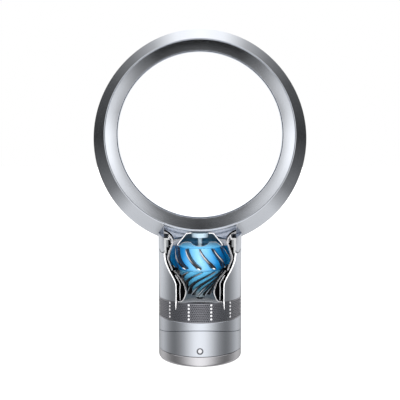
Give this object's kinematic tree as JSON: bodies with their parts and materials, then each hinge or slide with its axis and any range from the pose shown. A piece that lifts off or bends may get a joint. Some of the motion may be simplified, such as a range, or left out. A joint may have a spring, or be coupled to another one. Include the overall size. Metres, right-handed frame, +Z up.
{
  "type": "bladeless fan",
  "caption": "Round-loop bladeless desk fan on a cylindrical base, cut open at the front to show its impeller, diffuser vanes and air duct; swivels and tilts.",
  "frame": {"origin": "floor under the middle of the round base", "axes": "+Z up, the fan blows towards -Y, +X to the right seen from the front"},
  "size_m": [0.356, 0.14, 0.552],
  "materials": {
    "silver_shell": "metallic silver lacquer on moulded plastic",
    "grille_plastic": "dark grey, finely perforated",
    "duct_plastic": "pale section faces, dark behind",
    "blue_plastic": "glossy sky blue",
    "cap_plastic": "pale blue-grey",
    "slide_plastic": "self-lubricating natural plastic",
    "dark_plastic": "fine moulded grain",
    "foam": "open-cell sound-deadening foam",
    "rubber": "matt",
    "steel": "turned",
    "circuit_resin": "solder mask"
  },
  "bodies": {
    "foot": {"foot_shell": "silver_shell", "foot_pad": "rubber", "cable_gland": "rubber", "swivel_spindle": "steel", "spindle_clip": "steel", "swivel_bearing": "slide_plastic", "ring_gear": "slide_plastic"},
    "base": {"base_shell": "silver_shell", "base_plate": "dark_plastic", "tilt_guide_left": "slide_plastic", "tilt_guide_right": "slide_plastic", "circuit_board": "circuit_resin", "switch_board": "circuit_resin", "button_switch": "dark_plastic", "button_bezel": "silver_shell", "oscillation_motor": "steel"},
    "pinion": {"oscillation_pinion": "slide_plastic"},
    "button": {"power_button": "silver_shell"},
    "body": {"lower_casing": "silver_shell", "body_floor": "dark_plastic", "intake_grille": "grille_plastic", "upper_casing": "silver_shell", "neck_collar": "silver_shell", "loop_outer_casing": "silver_shell", "loop_inner_casing": "silver_shell", "bulkhead_ring": "dark_plastic", "support_ring": "rubber", "acoustic_foam": "foam", "diffuser_duct": "duct_plastic", "impeller_shroud": "duct_plastic", "shroud_jacket": "duct_plastic", "diffuser_hub": "blue_plastic", "motor_cap": "cap_plastic", "motor_mount_post": "cap_plastic", "motor_can": "steel", "motor_bearing_lower": "steel", "motor_bearing_upper": "steel"},
    "rotor": {"motor_shaft": "steel", "impeller": "blue_plastic", "impeller_nut": "steel"}
  },
  "joints": [
    {"name": "swivel", "type": "hinge", "parent": "foot", "child": "base", "pos_m": [0, 0, 0.0187], "axis": [0, 0, 1], "range_deg": [-45, 45]},
    {"name": "tilt", "type": "hinge", "parent": "base", "child": "body", "pos_m": [0, 0, 0.2453], "axis": [1, 0, 0], "range_deg": [-10, 10]},
    {"name": "pinion_spin", "type": "hinge", "parent": "base", "child": "pinion", "pos_m": [0, 0.0225, 0.011], "axis": [0, 0, 1], "range_deg": [-180, 180]},
    {"name": "button_press", "type": "slide", "parent": "base", "child": "button", "axis": [0, 1, 0], "range_m": [0, 0.0008], "stiffness_N_per_m": 600},
    {"name": "rotor_spin", "type": "hinge", "parent": "body", "child": "rotor", "pos_m": [0, 0, 0.146], "axis": [0, 0, 1], "continuous": true}
  ],
  "couplings": [
    {"joint": "pinion_spin", "follows": "swivel", "ratio": -4}
  ]
}
